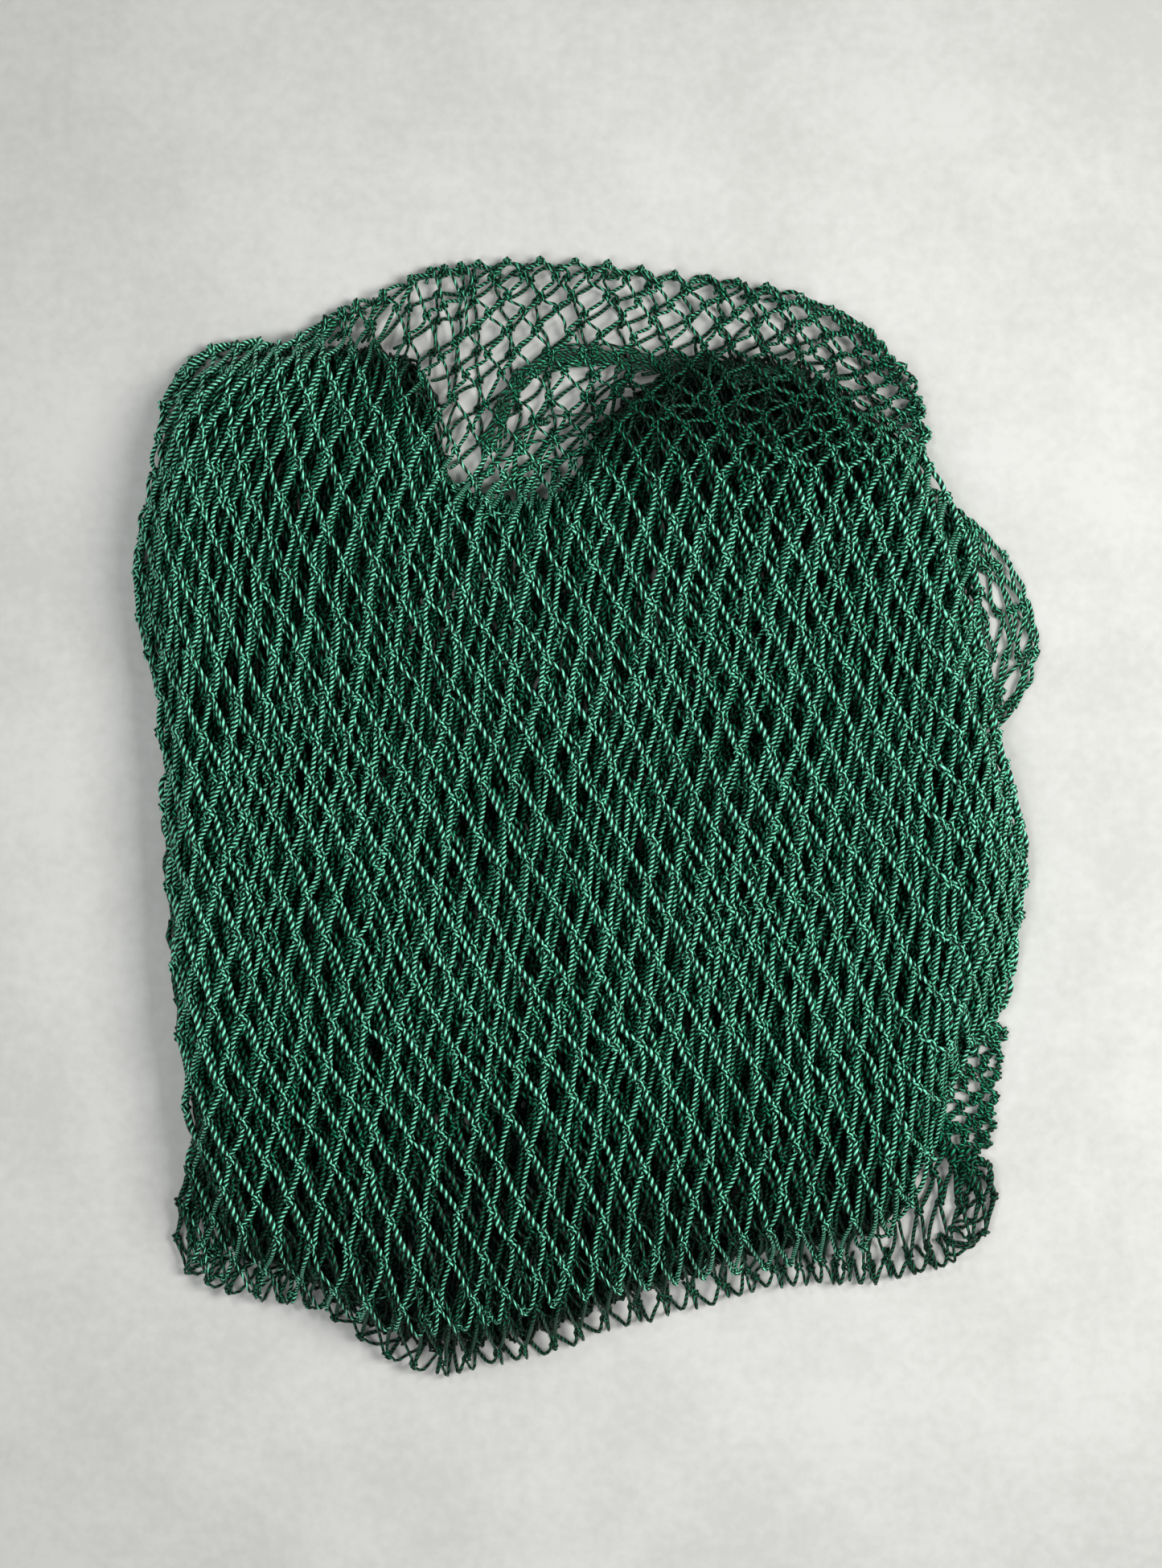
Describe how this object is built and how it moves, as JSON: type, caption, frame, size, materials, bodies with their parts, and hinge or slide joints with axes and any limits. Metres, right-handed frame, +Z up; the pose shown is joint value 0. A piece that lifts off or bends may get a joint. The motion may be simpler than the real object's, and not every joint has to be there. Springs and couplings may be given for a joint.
{
  "type": "folded cast net",
  "caption": "Knotted diamond-mesh netting of twisted green twine, folded back and forth into a flat bundle whose top layer lifts.",
  "frame": {"origin": "middle of the bundle's footprint, on the surface that it lies on", "axes": "+Z up, out of the surface; +Y along the length, towards the loose flap; +X to the right, towards the ear loop"},
  "size_m": [0.1809, 0.2224, 0.0153],
  "materials": {
    "green_twine": "satin"
  },
  "bodies": {
    "bundle": {"bottom_fold_2_3": "green_twine", "bottom_fold_4_5": "green_twine", "bottom_fold_6_7": "green_twine", "bottom_fold_8_9": "green_twine", "flap_lower_sheet": "green_twine", "flap_rim_fold": "green_twine", "flap_upper_sheet": "green_twine", "left_shoulder_lower": "green_twine", "left_shoulder_middle": "green_twine", "left_shoulder_upper": "green_twine", "lower_right_tuck": "green_twine", "notch_fold_1_2": "green_twine", "notch_fold_3_4": "green_twine", "notch_fold_5_6": "green_twine", "notch_fold_7_8": "green_twine", "panel_01": "green_twine", "panel_02": "green_twine", "panel_03": "green_twine", "panel_04": "green_twine", "panel_05": "green_twine", "panel_06": "green_twine", "panel_07": "green_twine", "panel_08": "green_twine", "panel_09": "green_twine", "right_ear_loop": "green_twine", "right_shoulder_lower": "green_twine", "right_shoulder_middle": "green_twine", "right_shoulder_upper": "green_twine"},
    "lifting_panel": {"top_panel": "green_twine", "top_panel_hem": "green_twine"}
  },
  "joints": [
    {"name": "top_panel_unfold", "type": "hinge", "parent": "bundle", "child": "lifting_panel", "pos_m": [0, 0.062, 0.0153], "axis": [-1, 0, 0], "range_deg": [0, 150]}
  ]
}
